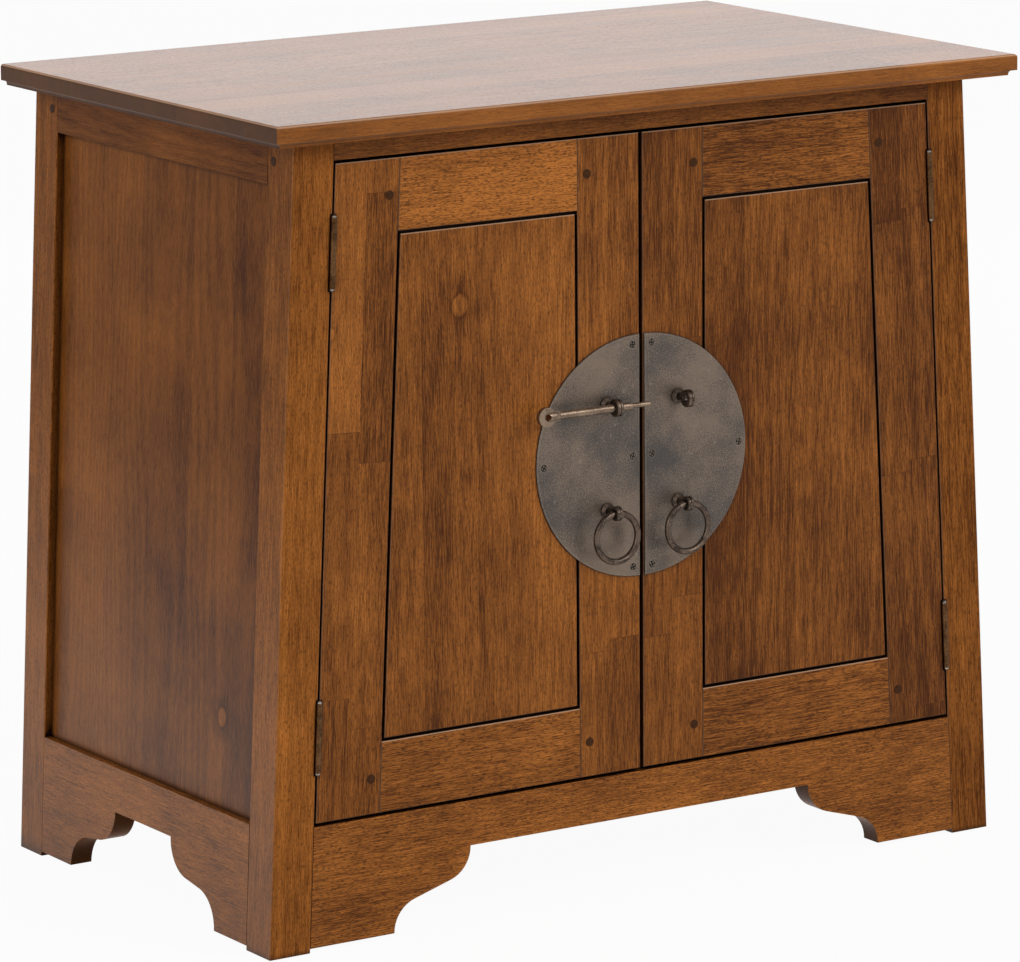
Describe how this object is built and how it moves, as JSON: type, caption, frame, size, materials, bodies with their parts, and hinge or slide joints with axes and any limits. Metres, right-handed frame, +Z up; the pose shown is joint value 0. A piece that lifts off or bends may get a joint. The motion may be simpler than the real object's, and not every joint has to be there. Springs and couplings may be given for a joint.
{
  "type": "cabinet",
  "caption": "Low wooden cabinet with sides that lean inwards, framed doors on butt hinges, a split round iron lock plate, ring pulls and a sliding lock pin.",
  "frame": {"origin": "middle of the footprint, on the floor", "axes": "+X to the right across the front, +Y towards the back, +Z up"},
  "size_m": [0.8, 0.5, 0.75],
  "materials": {
    "frame_wood": "stained and lacquered finger-jointed hardwood, satin",
    "door_panel_wood": "stained and lacquered finger-jointed hardwood, satin",
    "side_panel_wood": "stained and lacquered finger-jointed hardwood, satin",
    "top_wood": "stained and lacquered finger-jointed hardwood, satin",
    "inner_wood": "stained hardwood, matt",
    "peg_wood": "dark end grain",
    "plate_iron": "dark patinated sheet iron",
    "forged_iron": "dark forged iron, rubbed bright",
    "pin_bronze": "antique bronze",
    "hinge_brass": "antique brass",
    "screw_steel": "blackened steel"
  },
  "bodies": {
    "carcass": {"back_bottom_rail": "frame_wood", "back_left_post": "frame_wood", "back_panel": "inner_wood", "back_right_post": "frame_wood", "back_top_rail": "frame_wood", "door_stop": "inner_wood", "floor_board": "inner_wood", "floor_cleats": "inner_wood", "frame_leaf_screws": "screw_steel", "front_apron": "frame_wood", "front_left_post": "frame_wood", "front_right_post": "frame_wood", "front_top_rail": "frame_wood", "hinge_pins": "hinge_brass", "left_apron": "frame_wood", "left_frame_leaves": "hinge_brass", "left_panel": "side_panel_wood", "left_top_rail": "frame_wood", "right_apron": "frame_wood", "right_frame_leaves": "hinge_brass", "right_panel": "side_panel_wood", "right_top_rail": "frame_wood", "shelf": "inner_wood", "shelf_cleats": "inner_wood", "side_pegs": "peg_wood", "top_board": "top_wood", "top_cleats": "inner_wood"},
    "left_door": {"left_hinge_stile": "frame_wood", "left_lock_stile": "frame_wood", "left_door_top_rail": "frame_wood", "left_door_bottom_rail": "frame_wood", "left_door_panel": "door_panel_wood", "left_door_pegs": "peg_wood", "left_lock_plate": "plate_iron", "left_plate_screws": "screw_steel", "left_pin_eye": "forged_iron", "left_ring_eye": "forged_iron", "left_eye_nuts": "screw_steel", "left_door_leaves": "hinge_brass", "left_leaf_screws": "screw_steel"},
    "left_ring": {"left_ring": "forged_iron"},
    "right_door": {"right_hinge_stile": "frame_wood", "right_lock_stile": "frame_wood", "right_door_top_rail": "frame_wood", "right_door_bottom_rail": "frame_wood", "right_door_panel": "door_panel_wood", "right_door_pegs": "peg_wood", "right_lock_plate": "plate_iron", "right_plate_screws": "screw_steel", "right_pin_eye": "forged_iron", "right_ring_eye": "forged_iron", "right_eye_nuts": "screw_steel", "right_door_leaves": "hinge_brass", "right_leaf_screws": "screw_steel"},
    "right_ring": {"right_ring": "forged_iron"},
    "lock_pin": {"lock_pin": "pin_bronze"}
  },
  "joints": [
    {"name": "left_door_hinge", "type": "hinge", "parent": "carcass", "child": "left_door", "pos_m": [-0.357, -0.216, 0], "axis": [-0.0506, 0, -0.9987], "range_deg": [0, 160]},
    {"name": "right_door_hinge", "type": "hinge", "parent": "carcass", "child": "right_door", "pos_m": [0.357, -0.216, 0], "axis": [-0.0506, 0, 0.9987], "range_deg": [0, 160]},
    {"name": "left_ring_swing", "type": "hinge", "parent": "left_door", "child": "left_ring", "pos_m": [-0.039, -0.233, 0.3645], "axis": [-1, 0, 0], "range_deg": [-15, 165]},
    {"name": "right_ring_swing", "type": "hinge", "parent": "right_door", "child": "right_ring", "pos_m": [0.039, -0.233, 0.3645], "axis": [-1, 0, 0], "range_deg": [-15, 165]},
    {"name": "lock_pin_slide", "type": "slide", "parent": "left_door", "child": "lock_pin", "axis": [-1, 0, 0], "range_m": [-0.058, 0.03]}
  ]
}
